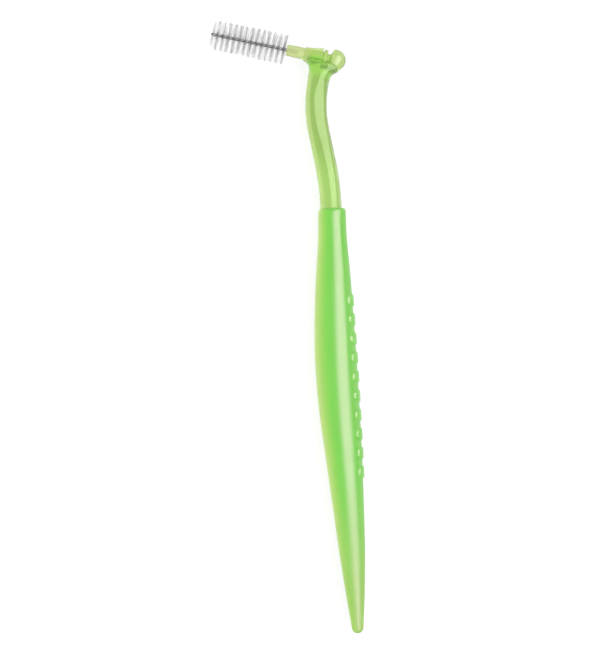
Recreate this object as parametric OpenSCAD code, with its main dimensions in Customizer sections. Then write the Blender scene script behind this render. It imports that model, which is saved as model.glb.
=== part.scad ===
// Interdental brush: a long bowed grip, an S-shaped neck whose head is a ring with
// an open cradle behind it, and a refill that is pushed through the ring from behind.
// The refill is a moulded shank with a knob, a folded and twisted wire, and bristles
// caught between the two strands of that wire. All sizes are in millimetres.
// The brush lies on its side: +Y points from the grip's tip to the head, +X points
// away from the bristles, and the plane of the neck's bends is level with the ground.

/* [Grip] */
// Length of the grip from its rim to its tip
grip_l = 93.6; // [70:0.5:120]
// Widest breadth of the grip, in the plane of the bends
grip_w = 9.2; // [7:0.1:14]
// Thickness of the grip across that plane
grip_t = 8.6; // [7:0.1:14]
// Width of the grip at its rim
rim_w = 6.1; // [6:0.05:7.2]
// Rounding of the rim's edge
rim_round = 0.35; // [0.1:0.05:0.4]
// How far the belly bows out towards the bristles' side
grip_bow = 1.2; // [0:0.1:2.5]
// How far the grip's middle lies behind the neck's at the rim
neck_aside = 0.2; // [0:0.05:0.25]
// Radius of the grip's rounded tip
tip_r = 1.3; // [0.8:0.05:1.6]
// Lean of the grip's straight line away from the vertical line of the object
grip_lean = 3.5; // [0:0.5:8]
// Number of raised grip studs along the back edge
stud_count = 10; // [2:1:12]
// Distance from one stud to the next
stud_pitch = 4.2; // [3.4:0.1:5]
// Radius of the ball that each stud is the cap of
stud_ball_r = 2.6; // [1.6:0.1:3]
// Height of a stud above the grip
stud_h = 0.35; // [0.1:0.05:0.5]

/* [Neck] */
// Diameter of the neck
neck_d = 4.75; // [4:0.05:5.2]
// Tilt of the head, and the angle that the S bend swings to on either side
head_tilt = 12; // [6:0.5:20]
// Radius of the upper bend's middle line
upper_bend_r = 28; // [15:1:45]
// Length of the straight stretch between the two bends
mid_straight = 6.8; // [2:0.2:12]
// Radius of the lower bend's middle line
lower_bend_r = 60; // [30:1:90]
// Length of the straight stretch above the grip's rim
low_straight = 1.5; // [0.5:0.1:6]
// Length of the tang inside the grip
tang_l = 12; // [6:0.5:18]
// Radial and end clearance of the tang in its socket
tang_gap = 0.03; // [0.01:0.01:0.1]

/* [Head] */
// Height of the refill's axis above the start of the upper bend
head_h = 4.7; // [4.2:0.1:7]
// Length of the ring along the refill's axis
ring_l = 3.8; // [2.5:0.1:4.5]
// Outer diameter of the ring at its front
ring_front_d = 3.15; // [3.1:0.05:4]
// Outer diameter of the ring at its rear
ring_rear_d = 4.15; // [3.6:0.05:4.6]
// Distance from the neck's axis forward to the ring's rear face
ring_rear_back = 0.5; // [0.2:0.05:1]
// Distance from the neck's axis to the rear lip of the cradle
cradle_reach = 4.1; // [3:0.1:5]
// Thickness of the cradle's side walls at their top
cradle_wall = 0.4; // [0.3:0.05:0.7]
// Drop from the refill's axis to the top of the cradle's walls
cradle_drop = 1.1; // [0.8:0.05:1.5]
// Radial clearance of the shank in the ring
ring_gap = 0.05; // [0.02:0.01:0.1]
// Radial clearance of the knob in the cradle
knob_gap = 0.08; // [0.05:0.01:0.3]

/* [Refill] */
// Diameter of the shank
shank_d = 2.6; // [2.2:0.05:2.8]
// Diameter of the shank at its front end, where it thins slightly
shank_front_d = 2.45; // [1.6:0.05:2.6]
// Length of the shank in front of the ring
shank_free = 3.95; // [2:0.1:8]
// Diameter of the stop collar behind the ring
collar_d = 3.9; // [3:0.1:4.4]
// Thickness of the stop collar
collar_t = 0.75; // [0.4:0.05:1.2]
// Gap between the ring's rear face and the stop collar
collar_gap = 0.55; // [0.1:0.05:1]
// Diameter of the waist between the collar and the knob
waist_d = 1.7; // [1.2:0.1:2.4]
// Length of the waist along its bare stretch
waist_l = 0.35; // [0.2:0.05:1]
// Diameter of the knob
knob_d = 4.75; // [4:0.05:5]
// Length of the cone that opens from the waist to the knob
knob_cone_l = 0.9; // [0.5:0.05:1.5]

/* [Wire and bristles] */
// Length of the bare wire end and the bristled stretch in front of the shank
wire_l = 17; // [10:0.2:22]
// Length of the wire that is moulded into the shank
wire_root = 2.5; // [1:0.1:4]
// Diameter of the wire itself
wire_d = 0.28; // [0.2:0.01:0.32]
// Diameter over both twisted strands
twist_d = 0.7; // [0.62:0.01:0.8]
// Length of one half turn of the twist
half_turn = 1.242; // [1:0.01:2]
// Clearance of the twisted wire in its hole
wire_gap = 0.02; // [0.01:0.01:0.05]
// Bare wire between the bristles and the wire's looped end
bare_tip = 0.75; // [0.5:0.05:2]
// Bare wire between the bristles and the shank
bare_root = 0.1; // [0.05:0.05:1]
// Diameter over the bristles beside the shank
brush_root_d = 6.3; // [4:0.1:9]
// Diameter over the bristles at the looped end
brush_tip_d = 5.8; // [3:0.1:9]
// Thickness of the packed bristles between the strands
pack_t = 0.08; // [0.04:0.01:0.1]
// Width of the packed bristles across the wire
pack_w = 0.6; // [0.5:0.02:0.8]
// Thickness of a bristle at its tip
bristle_t = 0.05; // [0.03:0.005:0.08]
// Bristle stations in each half turn, with one bristle to either side at each
stations = 13; // [12:1:16]

/* [Hidden] */
$fn = 48;
overrun = 0.2;

// The head's middle is where the refill's axis crosses the neck's axis.
// Places along the refill's axis count from there, positive towards the knob.
neck_r = neck_d / 2;
ring_rear = -ring_rear_back;
ring_front = ring_rear - ring_l;
bore_r = shank_d / 2 + ring_gap;
channel_r = knob_d / 2 + knob_gap;
shank_front = ring_front - shank_free;
collar_front = ring_rear + collar_gap;
collar_rear = collar_front + collar_t;
cone_front = collar_rear + waist_l;
cone_rear = cone_front + knob_cone_l;
knob_r = knob_d / 2;
// The cone meets the ball a little in front of the ball's middle.
knob_ahead_share = 0.25;
knob_mid = cone_rear + knob_ahead_share * knob_r;

// Middle line of the neck: straight, upper bend, straight, lower bend, straight.
function turned(r, angle) = [r * cos(angle), r * sin(angle)];
bend_start = -head_h * turned(1, 90 - head_tilt);
upper_mid = bend_start + turned(upper_bend_r, -head_tilt);
upper_end = upper_mid - turned(upper_bend_r, head_tilt);
lower_start = upper_end + turned(mid_straight, head_tilt - 90);
lower_mid = lower_start - turned(lower_bend_r, head_tilt);
lower_end = lower_mid + turned(lower_bend_r, grip_lean);
rim_mid = lower_end + turned(low_straight, grip_lean - 90);

// Grip outline: share of the length from the rim, half width and bow as shares.
rim_share = rim_w / grip_w;
end_share = 2 * tip_r / grip_w;
grip_shares = [
    [0.00, rim_share, 0.03],
    [0.07, 0.03 + rim_share, 0.25],
    [0.16, 0.83, 0.55],
    [0.26, 0.94, 0.85],
    [0.36, 1.00, 1.00],
    [0.47, 0.98, 0.92],
    [0.58, 0.89, 0.64],
    [0.70, 0.76, 0.36],
    [0.82, 0.62, 0.15],
    [0.92, 0.45, 0.03],
    [1.00, end_share, 0.00]
];
last_row = len(grip_shares) - 1;
function row_at(t, i = 0) = i >= last_row - 1 || t < grip_shares[i + 1][0] ? i : row_at(t, i + 1);
function knot(i) = grip_shares[max(0, min(last_row, i))];
function slope_at(i) = (knot(i + 1) - knot(i - 1)) / (knot(i + 1)[0] - knot(i - 1)[0]);
// A smooth cubic through the rows, for the half width share and the bow share.
function grip_row(t) = let (
    i = row_at(t),
    span = knot(i + 1)[0] - knot(i)[0],
    f = (t - knot(i)[0]) / span,
    a = 2 * f ^ 3 - 3 * f ^ 2 + 1,
    b = f ^ 3 - 2 * f ^ 2 + f,
    c = 3 * f ^ 2 - 2 * f ^ 3,
    d = f ^ 3 - f ^ 2
) a * knot(i) + b * span * slope_at(i) + c * knot(i + 1) + d * span * slope_at(i + 1);
function half_width(t) = grip_row(t)[1] * grip_w / 2;
function bow_at(t) = grip_row(t)[2] * grip_bow - neck_aside;
// The section is round at the rim and takes on the grip's own thickness by the belly.
function flatness(t) = let (f = min(1, t / grip_shares[3][0])) 1 + (grip_t / grip_w - 1) * f;

// Rings of the grip: distance from the rim, half width, half thickness and bow.
body_l = grip_l - tip_r;
rim_steps = 4;
body_steps = 34;
tip_steps = 5;
grip_rings = concat(
    [for (k = [0 : rim_steps - 1])
        let (turn = 90 * k / rim_steps, back = rim_round * (1 - sin(turn)))
        [rim_round * (1 - cos(turn)), half_width(0) - back, half_width(0) - back, bow_at(0)]],
    [for (k = [0 : body_steps])
        let (far = rim_round + (body_l - rim_round) * k / body_steps, t = far / body_l)
        [far, half_width(t), half_width(t) * flatness(t), bow_at(t)]],
    [for (k = [1 : tip_steps - 1])
        let (turn = 90 * k / tip_steps, w = tip_r * cos(turn))
        [body_l + tip_r * sin(turn), w, w * flatness(1), bow_at(1)]]
);

// Box of the whole object, which its origin is the bottom middle of.
function on_grip(side, down) = rim_mid + turned(side, grip_lean) + turned(down, grip_lean - 90);
function on_refill(along, up) = turned(along, -head_tilt) + turned(up, 90 - head_tilt);
wire_end = shank_front - wire_l;
bristle_end = wire_end + bare_tip;
right_x = max([for (g = grip_rings) on_grip(g[1] - g[3], g[0])[0]]);
left_x = min(on_refill(bristle_end, -brush_tip_d / 2)[0], on_refill(wire_end, 0)[0]);
top_y = on_refill(bristle_end, brush_tip_d / 2)[1];
low_y = on_grip(0, grip_l)[1];
lie_z = grip_t / 2;
middle = [-(left_x + right_x) / 2, -(top_y + low_y) / 2, lie_z];

// Closed skin over rings of equally many points, with a fan at each end. The rings run
// against the clock when they are seen from the end that the last one closes.
module skin(rings) {
    n = len(rings[0]);
    last = len(rings) - 1;
    points = [for (r = rings) each r];
    sides = [for (i = [0 : last - 1], k = [0 : n - 1]) let (m = (k + 1) % n)
        each [[i * n + k, (i + 1) * n + m, i * n + m], [i * n + k, (i + 1) * n + k, (i + 1) * n + m]]];
    first_cap = [for (k = [1 : n - 2]) [0, k, k + 1]];
    last_cap = [for (k = [1 : n - 2]) [last * n, last * n + k + 1, last * n + k]];
    polyhedron(points = points, faces = concat(sides, first_cap, last_cap));
}

// Puts a shape drawn in the head's own axes into the object: X along the refill, Y up the neck.
module at_head() {
    translate(middle) rotate(-head_tilt) children();
}

// Puts a shape drawn up the Z axis onto the refill's axis, seen from the head's middle.
module along_refill() {
    at_head() rotate([0, 90, 0]) children();
}

// Puts a shape that hangs down the Z axis from the rim onto the grip's line.
module at_rim() {
    translate(middle) translate(rim_mid) rotate(grip_lean) rotate([90, 0, 0]) children();
}

grip_sides = 32;
module grip_body() {
    at_rim() skin([for (g = grip_rings)
        [for (k = [0 : grip_sides - 1]) let (turn = 360 * k / grip_sides)
            [g[1] * cos(turn) - g[3], g[2] * sin(turn), g[0]]]]);
}

// Studs follow the back edge, each a cap of a ball that is sunk into the grip.
stud_row = (stud_count - 1) * stud_pitch;
stud_mid_share = 0.42;
module studs() {
    for (i = [0 : stud_count - 1]) {
        far = stud_mid_share * grip_l - stud_row / 2 + i * stud_pitch;
        edge = half_width(far / body_l) - bow_at(far / body_l);
        at_rim() translate([edge + stud_h - stud_ball_r, 0, far]) sphere(r = stud_ball_r);
    }
}

module grip() {
    color([0.54, 0.87, 0.41])
    difference() {
        union() {
            grip_body();
            studs();
        }
        at_rim() translate([0, 0, -overrun])
            cylinder(r = neck_r + tang_gap, h = tang_l + tang_gap + overrun);
    }
}

// Head block: rows of height, front end, rear end and half depth.
// Heights are shares of the head's height below the refill's axis, and ends are
// shares of the way from the neck's side to the ring's front or the cradle's lip.
block_shares = [
    [0.90, 0.00, 0.02, 0.08],
    [0.80, 0.02, 0.09, 0.16],
    [0.70, 0.06, 0.23, 0.28],
    [0.62, 0.11, 0.46, 0.40],
    [0.54, 0.18, 0.78, 0.52],
    [0.47, 0.26, 0.96, 0.66],
    [0.41, 0.36, 1.00, 0.78],
    [0.35, 0.52, 1.00, 0.90],
    [0.29, 0.78, 0.99, 1.00]
];
block_last = len(block_shares) - 1;
block_top_half = sqrt(channel_r ^ 2 - cradle_drop ^ 2) + cradle_wall;
front_run = -ring_front - neck_r;
rear_run = cradle_reach - neck_r;
// A power under one makes the ends of the plan fuller than an ellipse.
top_power_share = 0.75;
function fuller(x, power) = sign(x) * abs(x) ^ power;

neck_sides = 36;
low_bend_steps = 5;
high_bend_steps = 10;
function neck_ring(at, lean) = [for (k = [0 : neck_sides - 1]) let (turn = 360 * k / neck_sides)
    [each at + turned(neck_r * cos(turn), lean), -neck_r * sin(turn)]];
function block_ring(i) = let (
    row = block_shares[i],
    front = -neck_r - row[1] * front_run,
    rear = neck_r + row[2] * rear_run,
    deep = neck_r + row[3] * (block_top_half - neck_r),
    up = i == block_last ? -cradle_drop : -head_h * row[0],
    power = 1 + (top_power_share - 1) * i / block_last
) [for (k = [0 : neck_sides - 1]) let (turn = 360 * k / neck_sides)
    [each on_refill((front + rear) / 2 + (rear - front) / 2 * fuller(cos(turn), power), up),
        -deep * fuller(sin(turn), power)]];
neck_rings = concat(
    [neck_ring(on_grip(0, tang_l), grip_lean)],
    [for (k = [0 : low_bend_steps]) let (lean = grip_lean + (head_tilt - grip_lean) * k / low_bend_steps)
        neck_ring(lower_mid + turned(lower_bend_r, lean), lean)],
    [for (k = [0 : high_bend_steps]) let (lean = head_tilt * (1 - 2 * k / high_bend_steps))
        neck_ring(upper_mid - turned(upper_bend_r, lean), lean)],
    [for (i = [0 : block_last]) block_ring(i)]
);

module neck() {
    color([0.76, 0.91, 0.56])
    difference() {
        union() {
            translate(middle) skin(neck_rings);
            along_refill() translate([0, 0, ring_front])
                cylinder(r1 = ring_front_d / 2, r2 = ring_rear_d / 2, h = ring_l);
        }
        along_refill() translate([0, 0, ring_front - overrun])
            cylinder(r = bore_r, h = ring_l + 2 * overrun);
        along_refill() translate([0, 0, ring_rear])
            cylinder(r = channel_r, h = cradle_reach + ring_rear_back + overrun);
    }
}

// Refill profile: radius across, place along the refill's axis up.
shank_r = shank_d / 2;
nose_l = shank_free / 2;
cone_end_r = sqrt(knob_r ^ 2 - (knob_mid - cone_rear) ^ 2);
module refill_profile() {
    polygon([
        [0, shank_front], [shank_front_d / 2, shank_front], [shank_r, shank_front + nose_l],
        [shank_r, collar_front], [collar_d / 2, collar_front], [collar_d / 2, collar_rear],
        [waist_d / 2, collar_rear], [waist_d / 2, cone_front], [cone_end_r, cone_rear],
        [0, cone_rear]
    ]);
    intersection() {
        translate([0, knob_mid]) circle(r = knob_r);
        translate([0, cone_rear]) square([knob_d, knob_d]);
    }
}

module refill_shank() {
    color([0.78, 0.87, 0.52])
    difference() {
        along_refill() rotate_extrude() refill_profile();
        along_refill() translate([0, 0, shank_front - overrun])
            cylinder(r = twist_d / 2 + wire_gap, h = wire_root + wire_gap + overrun);
    }
}

// The wire is folded in two and twisted. Both strands wind about the axis from the root
// to the loop, and the twist dies away over the last stretch before the loop.
wire_r = wire_d / 2;
orbit_r = twist_d / 2 - wire_r;
root_place = shank_front + wire_root;
loop_place = wire_end + orbit_r + wire_r;
twist_run = root_place - loop_place;
fade_l = half_turn / 2;
function twist_at(run) = let (late = max(0, run - (twist_run - fade_l)))
    180 / half_turn * (run - late ^ 2 / (2 * fade_l));
function on_orbit(run, side) = [each turned(side * orbit_r, twist_at(run)), root_place - run];

wire_steps_a_half_turn = 8;
wire_sides = 6;
loop_steps = 6;
strand_steps = round(twist_run / half_turn * wire_steps_a_half_turn);
loop_turn = twist_at(twist_run);
wire_stops = concat(
    [for (k = [0 : strand_steps]) let (run = twist_run * k / strand_steps)
        [on_orbit(run, 1), twist_at(run)]],
    [for (k = [1 : loop_steps - 1]) let (turn = 180 * k / loop_steps)
        [[each turned(orbit_r * cos(turn), loop_turn), loop_place - orbit_r * sin(turn)], loop_turn]],
    [for (k = [strand_steps : -1 : 0]) let (run = twist_run * k / strand_steps)
        [on_orbit(run, -1), twist_at(run)]]
);
last_stop = len(wire_stops) - 1;
function unit(v) = v / norm(v);
function heading(i) = unit(wire_stops[min(last_stop, i + 1)][0] - wire_stops[max(0, i - 1)][0]);
function wire_ring(i) = let (
    ahead = heading(i),
    around = [each turned(1, wire_stops[i][1] + 90), 0],
    across = unit(around - (around * ahead) * ahead),
    out = cross(ahead, across)
) [for (k = [0 : wire_sides - 1]) let (turn = 360 * k / wire_sides)
    wire_stops[i][0] + wire_r * (cos(turn) * across + sin(turn) * out)];

module twisted_wire() {
    color([0.42, 0.43, 0.45]) along_refill() skin([for (i = [0 : last_stop]) wire_ring(i)]);
}

// The bristles are packed in a thin twisted band between the two strands of the wire.
// Rings of four corners make the band, and at every other step one bristle leaves each
// of its two narrow sides, growing straight out to the brush's outline.
step_l = half_turn / (2 * stations);
bristled_l = wire_l - bare_tip - bare_root;
station_count = floor(bristled_l / (2 * step_l));
band_start = wire_root + bare_root;
function outline_r(run) = let (f = (run - band_start) / bristled_l)
    (brush_root_d * (1 - f) + brush_tip_d * f) / 2;
// A place at a run along the wire, out from the axis and across the band's thickness.
function in_band(run, out, thick) = let (turn = twist_at(run))
    [each turned(thick, turn) + turned(out, turn + 90), root_place - run];
band_rings = [for (j = [0 : 2 * station_count]) let (run = band_start + j * step_l)
    for (corner = [[1, -1], [1, 1], [-1, 1], [-1, -1]])
        in_band(run, corner[0] * pack_w / 2, corner[1] * pack_t / 2)];
// Each bristle's four tip corners, in the order of the four corners that it grows from.
bristle_tips = [for (i = [0 : station_count - 1], side = [1, -1])
    let (run = band_start + (2 * i + 0.5) * step_l, turn = twist_at(run), half = bristle_t / 2)
        for (corner = [[-1, -1], [1, -1], [1, 1], [-1, 1]])
            [each turned(side * corner[1] * half, turn) + turned(side * outline_r(run), turn + 90),
                root_place - run - corner[0] * half]];
function quad(a, b, c, d) = [[a, b, c], [a, c, d]];
function band_at(j, k) = 4 * j + k % 4;
band_sides = [for (j = [0 : 2 * station_count - 1], k = [0 : 3])
    if (k % 2 == 1 || j % 2 == 1)
        each quad(band_at(j, k), band_at(j + 1, k), band_at(j + 1, k + 1), band_at(j, k + 1))];
first_tip = len(band_rings);
bristle_faces = [for (i = [0 : station_count - 1], s = [0, 1])
    let (
        j = 2 * i,
        k = 2 * s,
        tip = first_tip + 4 * (2 * i + s),
        base = [band_at(j, k), band_at(j + 1, k), band_at(j + 1, k + 1), band_at(j, k + 1)]
    )
        each concat(
            [for (q = [0 : 3]) let (r = (q + 1) % 4)
                each quad(base[q], base[r], tip + r, tip + q)],
            quad(tip, tip + 1, tip + 2, tip + 3)
        )];
band_end = 2 * station_count;
band_caps = concat(
    quad(0, 1, 2, 3),
    quad(band_at(band_end, 3), band_at(band_end, 2), band_at(band_end, 1), band_at(band_end, 0))
);

module bristles() {
    color([0.86, 0.86, 0.88]) along_refill()
        polyhedron(points = concat(band_rings, bristle_tips),
            faces = concat(band_sides, bristle_faces, band_caps));
}

grip();
neck();
refill_shank();
twisted_wire();
bristles();
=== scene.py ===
"""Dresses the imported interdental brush: fine meshes and translucent plastics in the CAD model's frame."""

import math
import random

import bpy
import numpy as np
from mathutils import Matrix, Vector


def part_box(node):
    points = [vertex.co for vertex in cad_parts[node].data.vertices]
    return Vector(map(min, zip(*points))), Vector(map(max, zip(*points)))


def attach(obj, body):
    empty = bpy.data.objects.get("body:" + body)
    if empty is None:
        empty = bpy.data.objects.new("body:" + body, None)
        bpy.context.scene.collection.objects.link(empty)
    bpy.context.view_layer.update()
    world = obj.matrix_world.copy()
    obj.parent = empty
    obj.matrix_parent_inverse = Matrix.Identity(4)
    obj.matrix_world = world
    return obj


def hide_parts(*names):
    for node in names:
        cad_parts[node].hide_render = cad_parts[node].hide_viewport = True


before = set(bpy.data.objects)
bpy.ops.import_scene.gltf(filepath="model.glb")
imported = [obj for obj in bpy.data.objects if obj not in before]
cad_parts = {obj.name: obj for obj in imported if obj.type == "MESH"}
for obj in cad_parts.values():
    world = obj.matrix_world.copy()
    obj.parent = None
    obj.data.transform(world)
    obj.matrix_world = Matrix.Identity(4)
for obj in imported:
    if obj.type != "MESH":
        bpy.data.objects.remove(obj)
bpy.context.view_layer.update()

# Sizes are in millimetres and angles in degrees. MM turns millimetres into Blender's metres.
MM = 0.001

# Refill, along its own axis from the head's middle, positive towards the knob
HEAD_TILT = 12.0
SHANK_D = 2.6
SHANK_FRONT_D = 2.45
SHANK_FREE = 3.95
SHANK_TAPER_SHARE = 0.5
COLLAR_D = 3.7
COLLAR_T = 0.75
COLLAR_GAP = 0.3
WAIST_D = 2.1
WAIST_L = 0.7
KNOB_D = 4.75
KNOB_CONE_L = 0.55
KNOB_AHEAD_SHARE = 0.25
EDGE_R = 0.12

# Ring and cradle. The ring's flare is a power, and a cradle of roundness 1 is an ellipse in section,
# given at its top and at its foot.
HEAD_H = 4.7
RING_L = 4.05
RING_FRONT_D = 3.02
RING_REAR_D = 4.15
RING_REAR_BACK = 0.25
RING_FLARE = 1.5
RING_NOSE_R = 0.35
RING_REAR_R = 0.18
RING_BLEND_R = 1.0
RING_GAP = 0.05
CRADLE_REACH = 4.1
CRADLE_WALL = 0.4
CRADLE_DROP = 1.1
CRADLE_EDGE_R = 0.25
CRADLE_BLEND_R = 0.3
CRADLE_ROUNDNESS = (0.75, 1.0)
KNOB_GAP = 0.08
LIP_R = 0.09

# Each row is the cradle's depth as a share of HEAD_H, then how far its front, its rear and its sides
# have come from the rod to the full head.
CRADLE_SHARES = np.array([
    [0.29, 0.78, 0.99, 1.00],
    [0.35, 0.52, 1.00, 0.90],
    [0.41, 0.36, 1.00, 0.78],
    [0.47, 0.26, 0.96, 0.66],
    [0.54, 0.18, 0.78, 0.52],
    [0.62, 0.11, 0.46, 0.40],
    [0.70, 0.06, 0.23, 0.28],
    [0.80, 0.02, 0.09, 0.16],
    [0.90, 0.00, 0.02, 0.08],
])

# Neck. Its long flats run out at both ends: at the first share of the way from the grip's rim to the
# head they are nothing, and at the second they are whole.
NECK_D = 4.75
UPPER_BEND_R = 28.0
MID_STRAIGHT = 6.8
LOWER_BEND_R = 60.0
LOW_STRAIGHT = 1.5
NECK_TOP_SHARE = 0.35
GRIP_LEAN = 3.5
TANG_L = 12.0
TANG_GAP = 0.03
TANG_END_R = 0.3
FLAT_TILT = 20.0
FLAT_DROP = 0.3
FLAT_R = 4.8
FLAT_EDGE_R = 0.1
FLAT_FOOT_SHARES = (0.25, 0.85)
FLAT_TOP_SHARES = (1.03, 0.82)

# Grip
GRIP_L = 93.6
GRIP_W = 9.2
GRIP_T = 8.6
GRIP_BOW = 1.2
NECK_ASIDE = 0.2
RIM_W = 6.1
RIM_ROUND = 0.5
RIM_ROUND_L = 1.0
MOUTH_R = 0.12
TIP_R = 1.3
STUD_COUNT = 10
STUD_PITCH = 4.2
STUD_MID_SHARE = 0.42
STUD_H = 0.3
STUD_HALF_L = 1.45
STUD_HALF_ARC = 44.0
STUD_POWER = 2.6
STUD_FLANK_SHARE = 0.24

# Each row is a share of the grip's length, then its half width and its bow as shares of the greatest.
GRIP_SHARES = np.array([
    [0.00, RIM_W / GRIP_W, 0.03],
    [0.07, 0.03 + RIM_W / GRIP_W, 0.25],
    [0.16, 0.83, 0.55],
    [0.26, 0.94, 0.85],
    [0.36, 1.00, 1.00],
    [0.47, 0.98, 0.92],
    [0.58, 0.89, 0.64],
    [0.70, 0.76, 0.36],
    [0.82, 0.62, 0.15],
    [0.92, 0.45, 0.03],
    [1.00, 2 * TIP_R / GRIP_W, 0.00],
])

# The grip is round at its rim and has its full flatness from this share of its length on.
FLATTENED_SHARE = 0.26

# Wire. The twist dies away over a share of a half turn, before the loop at the wire's end.
WIRE_L = 17.0
WIRE_ROOT = 2.5
WIRE_D = 0.28
WIRE_GAP = 0.02
TWIST_D = 0.7
HALF_TURN = 1.242
FADE_SHARE = 0.25

# Bristles. The fan is a spread in degrees, and lean, curl and shortness are spreads in shares of a
# filament's length. The taper is the share of its thickness that it loses. With a bunching of 0 the
# filaments stand evenly, and with 1 they crowd once in each half turn.
BARE_TIP = 0.4
BARE_ROOT = 0.1
BRUSH_ROOT_D = 6.75
BRUSH_TIP_D = 6.55
BUNCHING = 0.9
FILAMENTS_A_HALF_TURN = 25
FILAMENT_D = 0.07
FILAMENT_ROOT_R = 0.12
FILAMENT_TAPER = 0.15
FILAMENT_LEAN = 0.055
FILAMENT_FAN = 15.0
FILAMENT_CURL = 0.03
FILAMENT_SHORT = 0.02
FILAMENT_SEED = 7

# How fine the lofted and turned meshes are
CORNER_STEPS = 6
CORNER_SIDE_PARTS = 2.1
STRAIGHT_FROM = 88.0
REVOLVED_SIDES = 96
DOME_POINTS = 40
STUD_SIDES = 73
OTHER_SIDES = 97
STUD_ARC_MARGIN = 6
SOCKET_RINGS = 10
SOCKET_END_STOPS = (0.3, 1)
SOCKET_MOUTH_STOPS = (0.6, 0.15)
SOCKET_FLOOR_SHARE = 0.5
MOUTH_RINGS = 5
RIM_RINGS = 8
UPPER_RINGS = 26
STUD_RINGS = 340
LOWER_RINGS = 60
TIP_RINGS = 13
WIRE_SIDES = 12
STEPS_A_HALF_TURN = 20
LOOP_STEPS = 16
FILAMENT_SIDES = 5
FILAMENT_STEPS = 3

# How fine the neck's mesh is, and how far its grid reaches past the neck
LOWER_BEND_POINTS = 16
UPPER_BEND_POINTS = 30
GRID_STEP = 0.09
GRID_STRETCH = 3.2
GRID_MARGIN = 0.4
GRID_SIDE_MARGIN = 0.6
GRID_TOP_MARGIN = 1.2
GRID_HEAD_MARGIN = 1.5
SETTLE_ROUNDS = 3
SETTLE_MOST = 0.05
SLOPE_STEP = 2e-3
SLOPE_LEAST = 0.05
TINY = 1e-9

# Noise in the materials: how many spots there are to a metre, and how much detail they have
DRIFT_NOISE = (90.0, 3.0)
HANDLED_NOISE = (260.0, 4.0)
WAVE_NOISE = (900.0, 2.0)
STEEL_NOISE = (1500.0, 3.0)
NYLON_NOISE = (700.0, 3.0)
GLOSS_FROM_TO = (0.3, 0.7)
SPOT_FROM_TO = (0.35, 0.65)
WAVE_STRENGTH = 0.06
WAVE_H = 0.02

# Grip plastic. The tip's places are metres from the frame's middle, down the page.
GRIP_GREENS = ((0.21, 0.68, 0.075), (0.195, 0.64, 0.07))
GRIP_ROUGH = (0.285, 0.335)
GRIP_IOR = 1.5
GRIP_GLOSS_TINT = (1, 0.52, 0.85, 1)
# The left flank's paler green is painted light on that side.
FLANK_LIGHT_FACING = (0.25, 0.95)
FLANK_PAINTED_LIGHT = (0.44, 0.67, 0.15)
# The tip's paler green is painted light through the thin plastic.
TIP_LIGHT_AT = (0.030, 0.068)
TIP_PAINTED_LIGHT = (0.345, 0.61, 0.12)
TIP_DULL_AT = (0.02, 0.056)
TIP_DULL_RISE = 0.14

# Neck plastic. Places are millimetres from the head's middle, and each patch is whole at the second.
NECK_GREENS = ((0.51, 0.65, 0.25), (0.49, 0.63, 0.235))
NECK_ROUGH = (0.13, 0.17)
NECK_GLOSS_TINT = (0.9, 1, 0.7, 1)
NECK_CLEARNESS = 0.7
NECK_THROUGH = (0.55, 0.88, 0.1)
NECK_DENSITY = 220
FOOT_AT = (18.0, 28.0)
FOOT_GREEN = (0.59, 0.77, 0.30)
# Both flanks' paler greens are painted light at the neck's edges.
LEFT_LIGHT_FACING = (0.48, 0.68)
LEFT_PAINTED_LIGHT = (0.77, 0.83, 0.43)
RIGHT_LIGHT_FACING = (0.70, 0.92)
RIGHT_PAINTED_LIGHT = (0.92, 0.95, 0.66)
# The head's deep greens are painted shade where the ring, cradle and neck overlap.
HEAD_MID = (-0.7, -0.8)
HEAD_SHADE_AROUND = (5.0, 2.8)
HEAD_PAINTED_SHADE = (0.56, 0.84, 0.23)
ROOT_MID = (-1.4, -1.0)
ROOT_SHADE_AROUND = (3.0, 1.4)
ROOT_PAINTED_SHADE = (0.46, 0.92, 0.12)
TOP_AT = (-1.0, 0.9)
TOP_GREEN = (0.84, 1.0, 0.42)
FRONT_AT = (2.4, 4.0)
FRONT_GREEN = (0.86, 0.96, 0.48)

# Refill plastic
REFILL_GREENS = ((0.80, 0.88, 0.44), (0.78, 0.86, 0.42))
REFILL_ROUGH = (0.11, 0.15)
REFILL_CLEARNESS = 0.5
REFILL_THROUGH = (0.62, 0.85, 0.0)
REFILL_DENSITY = 200
CLEAR_IOR = 1.49
COLLAR_AT = (-1.4, -0.2)
COLLAR_GREEN = (0.66, 0.88, 0.27)
KNOB_AT = (1.4, 2.4)
KNOB_GREEN = (0.70, 0.84, 0.36)
# The rims' and the knob end's greyer greens are painted shade at the refill's edges.
RIM_SHADE_FACING = (0.76, 0.95)
RIM_PAINTED_SHADE = (0.54, 0.62, 0.31)
KNOB_END_SHADE_FACING = (0.70, 0.93)
KNOB_END_PAINTED_SHADE = (0.43, 0.53, 0.23)

# Steel and nylon
STEEL_GREYS = ((0.24, 0.24, 0.25), (0.17, 0.17, 0.18))
STEEL_ROUGH = (0.28, 0.42)
NYLON_GREYS = ((0.82, 0.82, 0.83), (0.74, 0.74, 0.75))
NYLON_ROUGH = (0.34, 0.46)
NYLON_IOR = 1.53
NYLON_CLEARNESS = 0.5

# Floor and world. The floor's own white is weaker near the object, where the lamps add to it, and the
# dome is brighter the higher one looks. Lengths here and at the lamps are in metres.
FLOOR_HALF = 3.0
FLOOR_PLAIN = 0.85
FLOOR_DIM = 0.3
FLOOR_GLOW = (0.76, 0.95)
GLOW_FROM_TO = (0.15, 0.9)
WHITE_TO = ("Is Camera Ray", "Is Glossy Ray", "Is Transmission Ray")
DOME_GLOW = (0.35, 0.65)
DOME_FROM_TO = (0.0, 0.6)

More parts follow.
